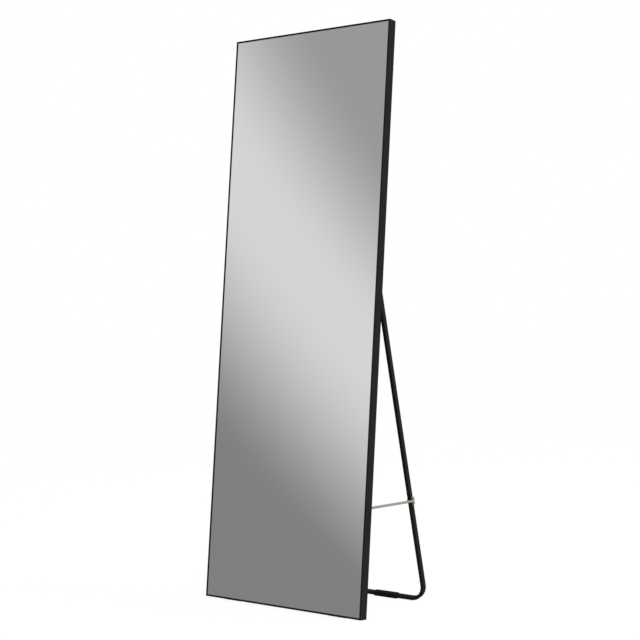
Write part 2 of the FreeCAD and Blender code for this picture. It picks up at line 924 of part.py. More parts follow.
def make_hanger_plate(name):
    """A flat steel plate with a keyhole: the screw's head enters low and slides up the slot."""
    body = new_body(name)
    plate = new_sketch(body, "XZ_Plane", name + "_plate")
    half_length = dim("hanger_length") / 2
    half_height = dim("hanger_height") / 2
    draw_rectangle(
        plate, -half_length, -half_height, half_length, half_height, dim("hanger_corner")
    )
    for side in (1, -1):
        draw_circle(
            plate,
            dim("hanger_screw_spacing") / 2 * side, 0,
            dim("hanger_screw_shank") / 2 + dim("screw_fit"),
        )
    draw_circle(plate, 0, -dim("hanger_hole_drop"), dim("hanger_hole") / 2)
    pad(body, plate, dim("hanger_sheet"), reverse=True)
    slot = new_sketch(body, "XZ_Plane", name + "_slot")
    half_slot = dim("hanger_slot") / 2
    draw_outline(slot, [
        (-half_slot, -dim("hanger_hole_drop")),
        (half_slot, -dim("hanger_hole_drop")),
        (half_slot, hanger_slot_top, nearly_full(half_slot)),
        (-half_slot, hanger_slot_top, nearly_full(half_slot)),
    ])
    pocket(body, slot, dim("hanger_sheet"))
    return body


def hanger_places():
    return [
        in_panel(hanger_x * side, depth, hanger_centre_z) for side in (1, -1)
    ]


def hanger_screw_places():
    return [
        in_panel(
            hanger_x * side + dim("hanger_screw_spacing") / 2 * hole,
            depth + dim("hanger_sheet"),
            hanger_centre_z,
        )
        for side in (1, -1)
        for hole in (1, -1)
    ]


keep(group_of_copies("hanger_plates", make_hanger_plate("hanger_plate"), hanger_places()))
hanger_screw = make_pan_screw("hanger_screw")
keep(group_of_copies("hanger_screws", hanger_screw, hanger_screw_places()))


# ---------------------------------------------------------------------------------------------
# Rubber pads under the bottom rail
# ---------------------------------------------------------------------------------------------

def make_floor_pad(name):
    """A wedge of rubber whose sole is level when the panel leans."""
    body = new_body(name)
    wedge = new_sketch(body, "YZ_Plane", name + "_wedge")
    rise = dim("pad_run") * tangent(lean)
    draw_outline(wedge, [
        (dim("pad_front"), -(dim("pad_thin") + rise)),
        (pad_rear, -dim("pad_thin")),
        (pad_rear, 0),
        (dim("pad_front"), 0),
    ])
    pad(body, wedge, dim("pad_length"), both_ways=True)
    return body


keep(group_of_copies(
    "floor_pads",
    make_floor_pad("floor_pad"),
    [in_panel(pad_centre * side, 0, 0) for side in (1, -1)],
))


# ---------------------------------------------------------------------------------------------
# The stand: a bent tube with a hinge insert in each end and two rubber sleeves on its bar
# ---------------------------------------------------------------------------------------------

def draw_tube_section(sketch, half_x, half_y, middle_y=0.0):
    """The hollow section, drawn with its rounded outside and its plain bore."""
    middle_y = size_of(middle_y)
    wall = dim("tube_wall")
    draw_rectangle(
        sketch, -half_x, middle_y - half_y, half_x, middle_y + half_y, dim("tube_corner")
    )
    draw_rectangle(
        sketch,
        wall - half_x, middle_y - half_y + wall, half_x - wall, middle_y + half_y - wall,
    )


rivet_hole_radius = (dim("rivet_diameter") + dim("rivet_fit")) / 2


def make_stand_tube(name):
    """Half the bar, a bend and a leg, each with the same section, and their mirror image."""
    body = new_body(name)
    half_depth, half_tube = dim("tube_depth") / 2, dim("tube_width") / 2
    bend = dim("bend_radius")
    turn = leg_splay_angle + 90
    setback = bend * tangent(turn / 2)
    bend_start = bar_half_span - setback
    top = dim("tube_top_drop")

    bar_section = new_sketch(body, "YZ_Plane", name + "_bar")
    draw_tube_section(bar_section, half_depth, half_tube, -leg_length)
    bar = pad(body, bar_section, bend_start)

    bend_section = new_sketch(body, "YZ_Plane", name + "_bend", bend_start)
    draw_tube_section(bend_section, half_depth, half_tube, -leg_length)
    axis_height = bend - leg_length
    axis = bend_section.addGeometry(
        Part.LineSegment(
            Vector(0, axis_height.value, 0), Vector(half_depth.value, axis_height.value, 0)
        ),
        True,
    )
    tie_point(bend_section, axis, 1, size_of(0), axis_height)
    tie_point(bend_section, axis, 2, half_depth, axis_height)
    bent = body.newObject("PartDesign::Revolution", name + "_bent")
    bent.Profile = bend_section
    bent.ReferenceAxis = (bend_section, ["Axis0"])
    bent.Reversed = True
    bent.setExpression("Angle", turn.formula)

    leg_section = new_sketch(body, "XY_Plane", name + "_leg")
    leg_section.AttachmentOffset = Placement(Vector(), Rotation(Y_AXIS, 1))
    leg_section.setExpression("AttachmentOffset.Rotation.Angle", (-leg_splay_angle).formula)
    leg_section.setExpression("AttachmentOffset.Base.x", leg_x(top).formula)
    leg_section.setExpression("AttachmentOffset.Base.z", (-top).formula)
    draw_tube_section(leg_section, half_tube, half_depth)
    leg_run = (leg_length - top) / cosine(leg_splay_angle) - setback
    leg = pad(body, leg_section, leg_run, reverse=True)

    cord_hole = new_sketch(body, "YZ_Plane", name + "_cord_hole", leg_x(cord_leg_drop))
    draw_circle(cord_hole, 0, -cord_leg_drop, cord_radius + dim("leg_hole_fit"))
    cord_cut = pocket(body, cord_hole, dim("tube_width") * 2, both_ways=True)
    rivet_hole = new_sketch(body, "YZ_Plane", name + "_rivet_hole", leg_x(dim("rivet_drop")))
    draw_circle(rivet_hole, 0, -dim("rivet_drop"), rivet_hole_radius)
    rivet_cut = pocket(body, rivet_hole, dim("tube_width") * 2, both_ways=True)
    twin = body.newObject("PartDesign::Mirrored", name + "_other_half")
    twin.Originals = [bar, bent, leg, cord_cut, rivet_cut]
    twin.MirrorPlane = (origin_plane(body, "YZ_Plane"), [""])
    body.Tip = twin
    body.Placement = stand_stance
    return body


def make_pivot_insert(name):
    """A moulded hinge insert: a round eye on the bolt, a shoulder, and a spigot in the tube."""
    body = new_body(name)
    wall, fit = dim("tube_wall"), dim("insert_fit")
    top = dim("tube_top_drop") - fit
    half_tube = dim("tube_width") / 2
    half_bore = half_tube - wall - fit
    shoulder = top - dim("insert_shoulder")
    eye = new_sketch(body, "YZ_Plane", name + "_eye")
    draw_outline(eye, [
        (-eye_radius, -shoulder),
        (eye_radius, -shoulder),
        (eye_radius, eye_radius, nearly_full(eye_radius)),
        (-eye_radius, eye_radius, nearly_full(eye_radius)),
    ])
    pad(body, eye, dim("tube_width"), both_ways=True)
    neck = new_sketch(body, "XZ_Plane", name + "_shoulder")
    overlap = dim("insert_overlap")

    def leg_side(drop, half):
        return (leg_slope * drop + half, -drop)

    draw_outline(neck, [
        leg_side(shoulder, -half_tube),
        leg_side(top, -half_tube),
        leg_side(top, half_tube),
        leg_side(shoulder, half_tube),
    ])
    pad(body, neck, dim("tube_depth"), both_ways=True)
    spigot = new_sketch(body, "XZ_Plane", name + "_spigot")
    end = top + dim("insert_spigot")
    draw_outline(spigot, [
        leg_side(top - overlap, -half_bore),
        leg_side(end, -half_bore),
        leg_side(end, half_bore),
        leg_side(top - overlap, half_bore),
    ])
    pad(body, spigot, dim("tube_depth") - (wall + fit) * 2, both_ways=True)
    bore = new_sketch(body, "YZ_Plane", name + "_bore")
    draw_circle(bore, 0, 0, dim("bolt_diameter") / 2 + dim("bolt_running_fit"))
    through = dim("tube_width") + dim("cut_overrun")
    pocket(body, bore, through, both_ways=True)
    rivet = new_sketch(body, "YZ_Plane", name + "_rivet_hole")
    draw_circle(rivet, 0, -dim("rivet_drop"), rivet_hole_radius)
    pocket(body, rivet, through, both_ways=True)
    body.Placement = in_stand(pivot_x, 0, 0)
    return body


def make_insert_rivet(name):
    """A rivet through the tube and the insert, along x, with a low head at each end."""
    body = new_body(name)
    half = new_sketch(body, "XY_Plane", name + "_half")
    shank, head = dim("rivet_diameter") / 2, dim("rivet_head") / 2
    seat = dim("tube_width") / 2 + dim("rivet_fit")
    end = seat + dim("rivet_head_height")
    draw_outline(half, [
        (-end, 0),
        (-end, head),
        (-seat, head),
        (-seat, shank),
        (seat, shank),
        (seat, head),
        (end, head),
        (end, 0),
    ])
    revolve(body, half, "X")
    return body


def make_foot_sleeve(name):
    """A rubber sleeve stretched over the bar, its ends bevelled."""
    body = new_body(name)
    half_length = dim("sleeve_length") / 2
    ring = new_sketch(body, "YZ_Plane", name + "_ring", sleeve_centre - half_length)
    draw_rectangle(
        ring,
        -sleeve_half_depth, -leg_length - sleeve_half_height,
        sleeve_half_depth, sleeve_half_height - leg_length,
        sleeve_corner,
    )
    bore_depth = dim("tube_depth") / 2 + dim("sleeve_fit")
    bore_height = dim("tube_width") / 2 + dim("sleeve_fit")
    draw_rectangle(
        ring,
        -bore_depth, -leg_length - bore_height, bore_depth, bore_height - leg_length,
        dim("tube_corner") + dim("sleeve_fit"),
    )
    tube = pad(body, ring, dim("sleeve_length"))
    half_tube = dim("tube_width").value / 2 + dim("sleeve_wall").value / 2
    half_deep = dim("tube_depth").value / 2 + dim("sleeve_wall").value / 2

    def outer_end_edge(edge):
        box = edge.BoundBox
        flat = box.XLength < 1e-6
        middle = edge.valueAt((edge.FirstParameter + edge.LastParameter) / 2)
        outside = abs(middle.y) > half_deep or abs(middle.z + leg_length.value) > half_tube
        return flat and outside

    bevel_edges(body, tube, name + "_bevel", dim("sleeve_end_bevel"), outer_end_edge)
    body.Placement = stand_stance
    return body


keep(make_stand_tube("stand_tube"))
right_insert = keep(make_pivot_insert("pivot_insert_right"))
keep(mirrored_twin(right_insert, "pivot_insert_left"))
keep(group_of_copies(
    "insert_rivets",
    make_insert_rivet("insert_rivet"),
    [in_stand(leg_x(dim("rivet_drop")) * side, 0, -dim("rivet_drop")) for side in (1, -1)],
))
right_sleeve = keep(make_foot_sleeve("foot_sleeve_right"))
keep(mirrored_twin(right_sleeve, "foot_sleeve_left"))


# ---------------------------------------------------------------------------------------------
# Stop cords: grommet and knot in the stile, the taut cord, and the knot through the leg
# ---------------------------------------------------------------------------------------------

def make_grommet(name):
    """A plastic grommet along y: a flange behind the wall, a neck through it, a lip inside."""
    body = new_body(name)
    half = new_sketch(body, "XY_Plane", name + "_half")
    flange = grommet_neck_radius + dim("grommet_flange")
    height_out = dim("grommet_flange_height")
    lip = grommet_neck_radius + dim("grommet_flange") / 2
    fit = dim("screw_fit") / 2
    draw_outline(half, [
        (grommet_bore_radius, -chamber_wall - height_out),
        (lip, -chamber_wall - height_out),
        (lip, -chamber_wall),
        (grommet_neck_radius - fit, -chamber_wall),
        (grommet_neck_radius - fit, 0),
        (flange, 0),
        (flange, height_out),
        (grommet_bore_radius, height_out),
    ])
    revolve(body, half, "Y")
    return body


keep(group_of_copies(
    "cord_grommets",
    make_grommet("cord_grommet"),
    [in_panel(cord_anchor_x * side, depth, cord_anchor_z) for side in (1, -1)],
))

# the cord's two ends: the stop knot's face inside the stile, and the end of the leg knot's stub
knot_offset = dim("tube_width") / 2 + dim("knot_gap") + dim("knot_thickness") / 2
knot_side_x = leg_x(cord_leg_drop) + knot_offset
leg_knot_centre = stand_stance.multVec(Vector(knot_side_x.value, 0, -cord_leg_drop.value))
anchor_mouth = panel_stance.multVec(
    Vector(cord_anchor_x.value, depth.value - chamber_wall.value, cord_anchor_z.value)
)
cord_way = (leg_knot_centre - anchor_mouth).normalize()
cord_turn = Rotation(Y_AXIS, cord_way)
stop_knot_setback = dim("grommet_flange_height") + dim("stop_knot_gap")
stop_knot_end = anchor_mouth - cord_way * stop_knot_setback.value
cord_end = leg_knot_centre - cord_way * dim("knot_stub").value
cord_length = (cord_end - stop_knot_end).Length


def make_stop_knot(name):
    """The knot inside the stile, a plain round lump along y that the cord leaves at y = 0."""
    body = new_body(name)
    circle = new_sketch(body, "XZ_Plane", name + "_circle")
    draw_circle(circle, 0, 0, dim("stop_knot_diameter") / 2)
    pad(body, circle, dim("stop_knot_length"))
    return body


def make_stop_cord(name):
    """The taut cord, one straight run along y from knot to knot."""
    body = new_body(name)
    circle = new_sketch(body, "XZ_Plane", name + "_circle")
    draw_circle(circle, 0, 0, cord_radius)
    pad(body, circle, cord_length, reverse=True)
    body.Placement = Placement(stop_knot_end, cord_turn)
    return body


def make_leg_knot(name):
    """The knots on both sides of the leg, joined through its hole, and the cord's first stub."""
    body = new_body(name)
    middle = leg_x(cord_leg_drop)
    half_height, half_knot = dim("knot_height") / 2, dim("knot_width") / 2
    thickness = dim("knot_thickness")
    for side_name, side in (("outer", 1), ("inner", -1)):
        near = middle + knot_offset * side - thickness / 2
        lump = new_sketch(body, "YZ_Plane", "%s_%s_lump" % (name, side_name), near)
        draw_rectangle(
            lump,
            -half_knot, -cord_leg_drop - half_height, half_knot, half_height - cord_leg_drop,
            nearly_full(half_knot),
        )
        pad(body, lump, thickness)
    neck = new_sketch(body, "YZ_Plane", name + "_neck", middle)
    draw_circle(neck, 0, -cord_leg_drop, cord_radius)
    pad(body, neck, dim("tube_width") + thickness, both_ways=True)
    stub = body.newObject("PartDesign::AdditiveCylinder", name + "_stub")
    attach(stub, body, "XZ_Plane")
    away = stand_stance.Rotation.inverted().multVec(-cord_way)
    stub.AttachmentOffset = Placement(
        Vector(), Rotation(Z_AXIS, Vector(away.x, away.z, -away.y))
    )
    stub.setExpression("AttachmentOffset.Base.x", knot_side_x.formula)
    stub.setExpression("AttachmentOffset.Base.y", (-cord_leg_drop).formula)
    stub.setExpression("Radius", cord_radius.formula)
    stub.setExpression("Height", dim("knot_stub").formula)
    body.Placement = stand_stance
    return body


keep(group_of_copies(
    "cord_stop_knots",
    make_stop_knot("cord_stop_knot"),
    [
        Placement(stop_knot_end, cord_turn),
        Placement(
            Vector(-stop_knot_end.x, stop_knot_end.y, stop_knot_end.z),
            Rotation(Y_AXIS, Vector(-cord_way.x, cord_way.y, cord_way.z)),
        ),
    ],
))
right_cord = keep(make_stop_cord("stop_cord_right"))
keep(mirrored_twin(right_cord, "stop_cord_left"))
right_knot = keep(make_leg_knot("cord_knot_right"))
keep(mirrored_twin(right_knot, "cord_knot_left"))


# ---------------------------------------------------------------------------------------------
# Check and write
# ---------------------------------------------------------------------------------------------

doc.recompute()
for item in doc.Objects:
    if "Invalid" in item.State or "Error" in item.State:
        raise RuntimeError("%s did not rebuild: %s" % (item.Name, item.State))

os.makedirs("parts", exist_ok=True)
for node in nodes:
    shape = node.Shape
    if shape.isNull() or not shape.isValid() or not shape.Solids:
        raise RuntimeError("%s has no sound solid" % node.Label)
    shape.exportStep("parts/%s.step" % node.Label)

print("cord %.1f mm long, level at %.1f and %.1f mm" % (cord_length, stop_knot_end.z, cord_end.z))
print("leg %.1f mm, front bottom edge at y %.2f z %.2f" % (
    leg_length.value, edge_y.value, panel_lift.value))
print("pivot", pivot_point, "nodes", len(nodes))
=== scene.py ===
"""A leaning floor mirror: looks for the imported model, with its camera, floor and studio light."""

import json
import math

import bmesh
import bpy
from mathutils import Matrix, Vector


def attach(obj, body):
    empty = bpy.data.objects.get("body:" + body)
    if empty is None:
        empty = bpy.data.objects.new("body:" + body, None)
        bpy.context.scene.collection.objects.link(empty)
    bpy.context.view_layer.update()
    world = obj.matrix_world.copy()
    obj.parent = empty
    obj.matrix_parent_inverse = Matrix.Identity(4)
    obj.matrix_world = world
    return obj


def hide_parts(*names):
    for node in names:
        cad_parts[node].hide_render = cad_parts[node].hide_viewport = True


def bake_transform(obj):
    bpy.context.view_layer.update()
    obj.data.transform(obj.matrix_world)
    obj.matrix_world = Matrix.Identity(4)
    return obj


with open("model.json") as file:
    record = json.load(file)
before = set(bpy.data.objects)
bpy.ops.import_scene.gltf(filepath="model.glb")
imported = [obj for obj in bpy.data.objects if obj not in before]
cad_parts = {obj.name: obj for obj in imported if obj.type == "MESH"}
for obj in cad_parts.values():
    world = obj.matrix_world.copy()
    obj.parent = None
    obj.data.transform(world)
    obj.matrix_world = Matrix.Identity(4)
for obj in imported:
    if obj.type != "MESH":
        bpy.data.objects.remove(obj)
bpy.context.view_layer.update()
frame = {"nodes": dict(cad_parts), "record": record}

MM = 0.001

# ---------------------------------------------------------------------------------------------
# The photograph's camera
# ---------------------------------------------------------------------------------------------

PICTURE_SIDE = 640
FOCAL_PIXELS = 1426.87
SENSOR_WIDTH = 36.0
CAMERA_PLACE = Vector((2.53339, -3.28323, 0.82859))
CAMERA_YAW = math.radians(37.5212)
CAMERA_PITCH = math.radians(-0.2078)
NEAREST_SEEN = 0.05
FARTHEST_SEEN = 200.0


def add_camera():
    data = bpy.data.cameras.new("photo_camera")
    data.sensor_width = SENSOR_WIDTH
    data.lens = FOCAL_PIXELS / PICTURE_SIDE * SENSOR_WIDTH
    data.clip_start = NEAREST_SEEN
    data.clip_end = FARTHEST_SEEN
    camera = bpy.data.objects.new("photo_camera", data)
    camera.location = CAMERA_PLACE
    camera.rotation_euler = (math.radians(90) + CAMERA_PITCH, 0, CAMERA_YAW)
    bpy.context.scene.collection.objects.link(camera)
    bpy.context.scene.camera = camera
    bpy.context.scene.view_settings.view_transform = "Standard"


# ---------------------------------------------------------------------------------------------
# Node helpers
# ---------------------------------------------------------------------------------------------

FLOAT, COLOUR, VECTOR = "NodeSocketFloat", "NodeSocketColor", "NodeSocketVector"


def grey(level):
    return (level, level, level, 1.0)


def set_input(tree, socket, value):
    """Link the socket to another socket, or set it to a plain value."""
    if isinstance(value, bpy.types.NodeSocket):
        tree.links.new(value, socket)
    else:
        socket.default_value = value


def add_node(tree, kind, inputs, **settings):
    """A node with its inputs, by socket name or number, and its settings."""
    node = tree.nodes.new(kind)
    for key, value in settings.items():
        setattr(node, key, value)
    for key, value in inputs.items():
        set_input(tree, node.inputs[key], value)
    return node


def noise(tree, place, scale, detail, roughness=0.5):
    inputs = {"Vector": place, "Scale": scale, "Detail": detail, "Roughness": roughness}
    return add_node(tree, "ShaderNodeTexNoise", inputs).outputs["Fac"]


def blend_colours(tree, factor, low, high):
    """A colour that runs from low to high with the factor."""
    inputs = {0: factor, 6: low, 7: high}
    return add_node(tree, "ShaderNodeMix", inputs, data_type="RGBA").outputs[2]


def remap(tree, value, start, end, low=0.0, high=1.0, kind="LINEAR"):
    """A number that runs from low to high while value runs from start to end."""
    inputs = {"Value": value, "From Min": start, "From Max": end, "To Min": low, "To Max": high}
    return add_node(tree, "ShaderNodeMapRange", inputs, interpolation_type=kind).outputs["Result"]


def calculate(tree, operation, first, second):
    return add_node(tree, "ShaderNodeMath", {0: first, 1: second}, operation=operation).outputs[0]


def stretch(tree, place, amounts):
    inputs = {0: place, 1: amounts}
    return add_node(tree, "ShaderNodeVectorMath", inputs, operation="MULTIPLY").outputs[0]


def mix_shaders(tree, factor, first, second):
    return add_node(tree, "ShaderNodeMixShader", {0: factor, 1: first, 2: second}).outputs[0]


def new_group(name, inputs, outputs):
    """A shader node group with its sockets; returns the tree, its input node and its output node."""
    tree = bpy.data.node_groups.new(name, "ShaderNodeTree")
    for label, kind, value in inputs:
        socket = tree.interface.new_socket(label, in_out="INPUT", socket_type=kind)
        socket.default_value = value
    for label, kind in outputs:
        tree.interface.new_socket(label, in_out="OUTPUT", socket_type=kind)
    return tree, tree.nodes.new("NodeGroupInput"), tree.nodes.new("NodeGroupOutput")


COAT_CLOUDS = {"scale": 9.0, "detail": 4.0, "roughness": 0.6}
COAT_SPECKS = {"scale": 160.0, "detail": 3.0, "roughness": 0.7}
COAT_TEXTURE_DETAIL = 2.0
PATCH_RANGE = (0.4, 0.75)
PATCH_WEAR = 0.35
DUST_RANGE = (0.62, 0.8)
DUST_WEAR = 0.5
GLOSS_RANGE = (0.3, 0.7)


def make_coat_group():
    """A coating or moulded skin: soft clouds of tone and gloss over a fine, even texture."""
    tree, given, result = new_group(
        "coat",
        [
            ("Position", VECTOR, (0, 0, 0)),
            ("Tone", COLOUR, grey(0.02)),
            ("Worn Tone", COLOUR, grey(0.04)),
            ("Texture Size", FLOAT, 900.0),
            ("Gloss Low", FLOAT, 0.35),
            ("Gloss High", FLOAT, 0.5),
        ],
        [("Colour", COLOUR), ("Roughness", FLOAT), ("Height", FLOAT)],
    )
    place = given.outputs["Position"]
    clouds = noise(tree, place, **COAT_CLOUDS)
    specks = noise(tree, place, **COAT_SPECKS)
    patches = remap(tree, clouds, *PATCH_RANGE, 0.0, PATCH_WEAR)
    dust = remap(tree, specks, *DUST_RANGE, 0.0, DUST_WEAR)
    worn = calculate(tree, "ADD", patches, dust)
    colour = blend_colours(tree, worn, given.outputs["Tone"], given.outputs["Worn Tone"])
    gloss = (given.outputs["Gloss Low"], given.outputs["Gloss High"])
    rough = remap(tree, clouds, *GLOSS_RANGE, *gloss)
    texture = noise(tree, place, given.outputs["Texture Size"], COAT_TEXTURE_DETAIL)
    set_input(tree, result.inputs["Colour"], colour)
    set_input(tree, result.inputs["Roughness"], rough)
    set_input(tree, result.inputs["Height"], texture)
    return tree


GRAIN_LINES = {"scale": 60.0, "detail": 6.0, "roughness": 0.65}
GRAIN_CLOUDS = {"scale": 14.0, "detail": 3.0}
SHADE_RANGE = (0.38, 0.62)


def make_grain_group():
    """A texture drawn out along one direction, such as brushing, rolling marks or fibres."""
    tree, given, result = new_group(
        "grain",
        [
            ("Position", VECTOR, (0, 0, 0)),
            ("Stretch", VECTOR, (1, 1, 1)),
            ("Light Tone", COLOUR, grey(0.5)),
            ("Dark Tone", COLOUR, grey(0.4)),
            ("Gloss Low", FLOAT, 0.3),
            ("Gloss High", FLOAT, 0.5),
        ],
        [("Colour", COLOUR), ("Roughness", FLOAT), ("Height", FLOAT)],
    )
    place = given.outputs["Position"]
    lines = noise(tree, stretch(tree, place, given.outputs["Stretch"]), **GRAIN_LINES)
    clouds = noise(tree, place, **GRAIN_CLOUDS)
    mean = calculate(tree, "MULTIPLY", calculate(tree, "ADD", lines, clouds), 0.5)
    shade = remap(tree, mean, *SHADE_RANGE)
    colour = blend_colours(tree, shade, given.outputs["Dark Tone"], given.outputs["Light Tone"])
    gloss = (given.outputs["Gloss Low"], given.outputs["Gloss High"])
    rough = remap(tree, clouds, *GLOSS_RANGE, *gloss)
    set_input(tree, result.inputs["Colour"], colour)
    set_input(tree, result.inputs["Roughness"], rough)
    set_input(tree, result.inputs["Height"], lines)
    return tree


def start_material(name):
    """A node material: its tree, the object's own coordinates and its one surface shader."""
    material = bpy.data.materials.new(name)
    material.use_nodes = True
    tree = material.node_tree
    tree.nodes.clear()
    place = add_node(tree, "ShaderNodeTexCoord", {}).outputs["Object"]
    surface = add_node(tree, "ShaderNodeBsdfPrincipled", {})
    add_node(tree, "ShaderNodeOutputMaterial", {"Surface": surface.outputs[0]})
    return material, tree, place, surface


def add_relief(tree, surface, height, distance, strength):
    inputs = {"Height": height, "Distance": distance, "Strength": strength}
    bump = add_node(tree, "ShaderNodeBump", inputs)
    set_input(tree, surface.inputs["Normal"], bump.outputs["Normal"])


def finished_with(group, name, relief, surface_values, group_values):
    """A material whose colour, roughness and relief come from one of the groups."""
    material, tree, place, surface = start_material(name)
    effect = add_node(tree, "ShaderNodeGroup", {}, node_tree=group)
    set_input(tree, effect.inputs["Position"], place)
    for label, value in group_values.items():
        set_input(tree, effect.inputs[label], value)
    for label, value in surface_values.items():
        set_input(tree, surface.inputs[label], value)
    set_input(tree, surface.inputs["Base Color"], effect.outputs["Colour"])
    set_input(tree, surface.inputs["Roughness"], effect.outputs["Roughness"])
    depth, strength = relief
    add_relief(tree, surface, effect.outputs["Height"], depth, strength)
    return material


# ---------------------------------------------------------------------------------------------
# Finishes
# ---------------------------------------------------------------------------------------------

def satin_black_anodising(coat):
    return finished_with(
        coat, "satin_black_anodising", (0.03 * MM, 0.4), {"Specular IOR Level": 0.2},
        {
            "Tone": (0.0155, 0.0155, 0.0163, 1), "Worn Tone": (0.028, 0.028, 0.0292, 1),
            "Texture Size": 2600.0, "Gloss Low": 0.36, "Gloss High": 0.44,
        },
    )


def black_powder_coat(coat):
    return finished_with(
        coat, "black_powder_coat", (0.12 * MM, 0.6), {"Specular IOR Level": 0.2},
        {
            "Tone": (0.017, 0.017, 0.018, 1), "Worn Tone": (0.029, 0.029, 0.03, 1),
            "Texture Size": 1100.0, "Gloss Low": 0.42, "Gloss High": 0.52,
        },
    )


def moulded_black_nylon(coat):
    return finished_with(
        coat, "moulded_black_nylon", (0.05 * MM, 0.3), {"Specular IOR Level": 0.3},
        {
            "Tone": (0.02, 0.02, 0.021, 1), "Worn Tone": (0.032, 0.032, 0.033, 1),
            "Texture Size": 1600.0, "Gloss Low": 0.45, "Gloss High": 0.6,
        },
    )


def soft_black_rubber(coat):
    return finished_with(
        coat, "soft_black_rubber", (0.1 * MM, 0.4), {"Specular IOR Level": 0.25},
        {
            "Tone": (0.013, 0.013, 0.013, 1), "Worn Tone": (0.03, 0.029, 0.028, 1),
            "Texture Size": 700.0, "Gloss Low": 0.68, "Gloss High": 0.86,
        },
    )


def white_foam(coat):
    return finished_with(
        coat, "white_foam", (0.2 * MM, 0.6), {"Specular IOR Level": 0.3},
        {
            "Tone": (0.8, 0.8, 0.78, 1), "Worn Tone": (0.7, 0.7, 0.68, 1),
            "Texture Size": 500.0, "Gloss Low": 0.7, "Gloss High": 0.85,
        },
    )


def bright_zinc_plate(grain):
    return finished_with(
        grain, "bright_zinc_plate", (0.02 * MM, 0.2), {"Metallic": 1.0},
        {
            "Stretch": (6.0, 6.0, 6.0),
            "Light Tone": (0.62, 0.63, 0.65, 1), "Dark Tone": (0.5, 0.51, 0.52, 1),
            "Gloss Low": 0.26, "Gloss High": 0.4,
        },
    )


def cast_key_metal(grain):
    return finished_with(
        grain, "cast_key_metal", (0.1 * MM, 0.4), {"Metallic": 1.0},
        {
            "Stretch": (3.0, 3.0, 3.0),
            "Light Tone": (0.55, 0.55, 0.56, 1), "Dark Tone": (0.42, 0.42, 0.43, 1),
            "Gloss Low": 0.45, "Gloss High": 0.6,
        },
    )


def brown_hardboard(grain):
    return finished_with(
        grain, "brown_hardboard", (0.1 * MM, 0.35), {"Specular IOR Level": 0.3},
        {
            "Stretch": (4.0, 4.0, 1.6),
            "Light Tone": (0.2, 0.125, 0.07, 1), "Dark Tone": (0.13, 0.078, 0.042, 1),
            "Gloss Low": 0.55, "Gloss High": 0.72,
        },
    )


GLASS_FILM = {"scale": 7.0, "detail": 5.0, "roughness": 0.6}
GLASS_SPECKS = {"scale": 420.0, "detail": 2.0}
GLASS_TONE = (0.93, 0.935, 0.935, 1)
DUSTY_TONE = (0.89, 0.895, 0.895, 1)
SPECK_RANGE = (0.7, 0.85)
FILM_RANGE = (0.35, 0.7)
FILM_ROUGHNESS = (0.004, 0.02)


def silvered_glass():
    """Silver seen through glass: a trace of film softens its gloss, a trace of dust its tone."""
    material, tree, place, surface = start_material("silvered_glass")
    film = noise(tree, place, **GLASS_FILM)
    specks = noise(tree, place, **GLASS_SPECKS)
    dust = remap(tree, specks, *SPECK_RANGE)
    colour = blend_colours(tree, dust, GLASS_TONE, DUSTY_TONE)
    rough = remap(tree, film, *FILM_RANGE, *FILM_ROUGHNESS)
    set_input(tree, surface.inputs["Base Color"], colour)
    set_input(tree, surface.inputs["Roughness"], rough)
    surface.inputs["Metallic"].default_value = 1.0
    return material


YARN = "yarn"
FIBRE_STRETCH = (1.0, 1.0, 0.14)
FIBRES = {"scale": 2600.0, "detail": 4.0, "roughness": 0.7}
TINTS = {"scale": 70.0, "detail": 3.0}
TINT_RANGE = (0.3, 0.7)
DULL_YARN = (0.385, 0.374, 0.32, 1)
PALE_YARN = (0.475, 0.465, 0.405, 1)
YARN_SHADOW = (0.28, 0.27, 0.225, 1)
SHADOW_RANGE = (0.45, 0.7)
SHADOW_DEPTH = 0.6
FIBRE_RANGE = (0.3, 0.7)
YARN_ROUGHNESS = (0.8, 0.95)
YARN_RELIEF = 0.3 * MM
YARN_RELIEF_STRENGTH = 0.6


def twisted_cotton():
    """Undyed cord: warm grey yarn whose fibres run with the strands, with a soft sheen."""
    material, tree, place, surface = start_material("twisted_cotton")
    along_strands = add_node(tree, "ShaderNodeAttribute", {}, attribute_name=YARN).outputs["Vector"]
    fibres = noise(tree, stretch(tree, along_strands, FIBRE_STRETCH), **FIBRES)
    tint = remap(tree, noise(tree, place, **TINTS), *TINT_RANGE)
    broad = blend_colours(tree, tint, DULL_YARN, PALE_YARN)
    shadow = remap(tree, fibres, *SHADOW_RANGE, 0.0, SHADOW_DEPTH)
    colour = blend_colours(tree, shadow, broad, YARN_SHADOW)
    rough = remap(tree, fibres, *FIBRE_RANGE, *YARN_ROUGHNESS)
    set_input(tree, surface.inputs["Base Color"], colour)
    set_input(tree, surface.inputs["Roughness"], rough)
    surface.inputs["Specular IOR Level"].default_value = 0.2
    surface.inputs["Sheen Weight"].default_value = 0.1
    surface.inputs["Sheen Roughness"].default_value = 0.5
    add_relief(tree, surface, fibres, YARN_RELIEF, YARN_RELIEF_STRENGTH)
    return material


def make_finishes():
    coat, grain = make_coat_group(), make_grain_group()
    return {
        "frame_black": satin_black_anodising(coat),
        "black_steel": black_powder_coat(coat),
        "black_nylon": moulded_black_nylon(coat),
        "black_rubber": soft_black_rubber(coat),
        "white_foam": white_foam(coat),
        "zinc_steel": bright_zinc_plate(grain),
        "cast_keys": cast_key_metal(grain),
        "hardboard": brown_hardboard(grain),
        "silvered_glass": silvered_glass(),
        "beige_cord": twisted_cotton(),
    }


finishes = make_finishes()


def dress(piece, slot_name):
    piece.data.materials.clear()
    piece.data.materials.append(finishes[slot_name])


def dress_frame_nodes():
    """Every carried-over node gets the finish of its slot in the record."""
    for row in frame["record"]["subparts"]:
        dress(frame["nodes"][row["node"]], row["material_slot"])


